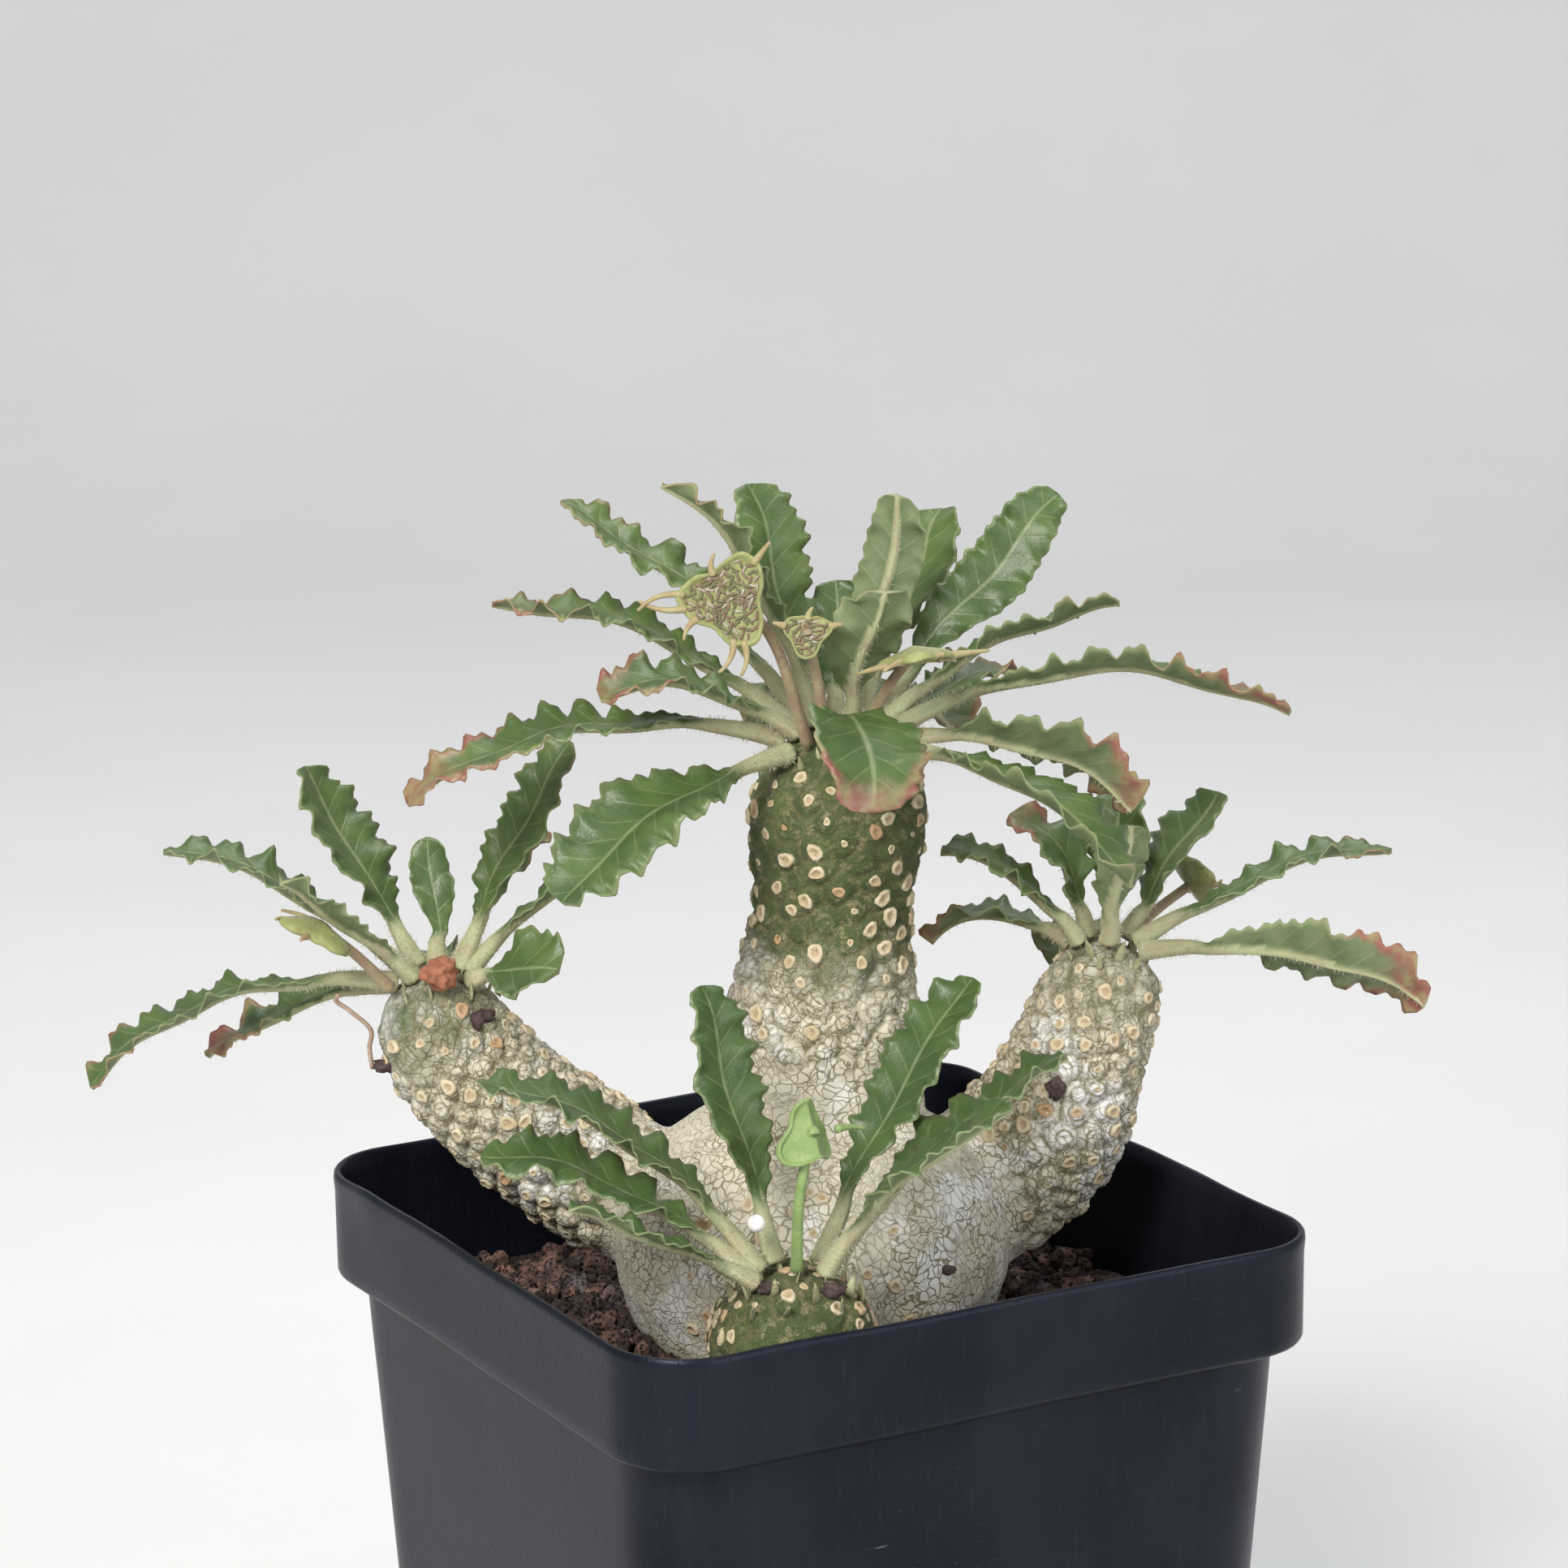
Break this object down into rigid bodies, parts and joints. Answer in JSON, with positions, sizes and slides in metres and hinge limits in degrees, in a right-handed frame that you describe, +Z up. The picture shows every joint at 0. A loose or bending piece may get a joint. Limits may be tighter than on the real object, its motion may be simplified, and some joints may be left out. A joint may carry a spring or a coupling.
{
  "type": "potted dorstenia",
  "caption": "Swollen-stemmed succulent with rounded arms, crisped green leaves and small star-shaped flower heads, growing in a square black nursery pot.",
  "frame": {"origin": "centre of the pot's flat base, on the surface that it stands on", "axes": "+Z up; X and Y along the pot's sides; the plant's widest spread is turned 29 degrees from +X towards -Y"},
  "size_m": [0.1419, 0.1041, 0.1773],
  "materials": {
    "pot_plastic": "satin",
    "soil_grit": "matte",
    "bark": "matte",
    "leaf_green": "satin",
    "flower_green": "matte",
    "seed_coat": "satin",
    "dried_bits": "matte"
  },
  "bodies": {
    "root": {"pot": "pot_plastic", "soil": "soil_grit", "caudex": "bark", "leaf_front_01": "leaf_green", "leaf_front_02": "leaf_green", "leaf_front_03": "leaf_green", "leaf_front_04": "leaf_green", "leaf_front_05": "leaf_green", "leaf_front_06": "leaf_green", "leaf_front_07": "leaf_green", "leaf_left_01": "leaf_green", "leaf_left_02": "leaf_green", "leaf_left_03": "leaf_green", "leaf_left_04": "leaf_green", "leaf_left_05": "leaf_green", "leaf_left_06": "leaf_green", "leaf_left_07": "leaf_green", "leaf_left_08": "leaf_green", "leaf_left_09": "leaf_green", "leaf_left_10": "leaf_green", "leaf_left_11": "leaf_green", "leaf_main_01": "leaf_green", "leaf_main_02": "leaf_green", "leaf_main_03": "leaf_green", "leaf_main_04": "leaf_green", "leaf_main_05": "leaf_green", "leaf_main_06": "leaf_green", "leaf_main_07": "leaf_green", "leaf_main_08": "leaf_green", "leaf_main_09": "leaf_green", "leaf_main_10": "leaf_green", "leaf_main_11": "leaf_green", "leaf_main_12": "leaf_green", "leaf_main_13": "leaf_green", "leaf_main_14": "leaf_green", "leaf_main_15": "leaf_green", "leaf_main_16": "leaf_green", "leaf_main_17": "leaf_green", "leaf_main_18": "leaf_green", "leaf_main_19": "leaf_green", "leaf_main_20": "leaf_green", "leaf_right_01": "leaf_green", "leaf_right_02": "leaf_green", "leaf_right_03": "leaf_green", "leaf_right_04": "leaf_green", "leaf_right_05": "leaf_green", "leaf_right_06": "leaf_green", "leaf_right_07": "leaf_green", "leaf_right_08": "leaf_green", "leaf_right_09": "leaf_green", "flower_front_01": "flower_green", "flower_left_01": "flower_green", "flower_main_01": "flower_green", "flower_main_02": "flower_green", "flower_main_03": "flower_green", "flower_right_01": "flower_green", "seed": "seed_coat", "dry_stalk_left": "dried_bits", "dry_flower_left": "dried_bits"}
  },
  "joints": []
}
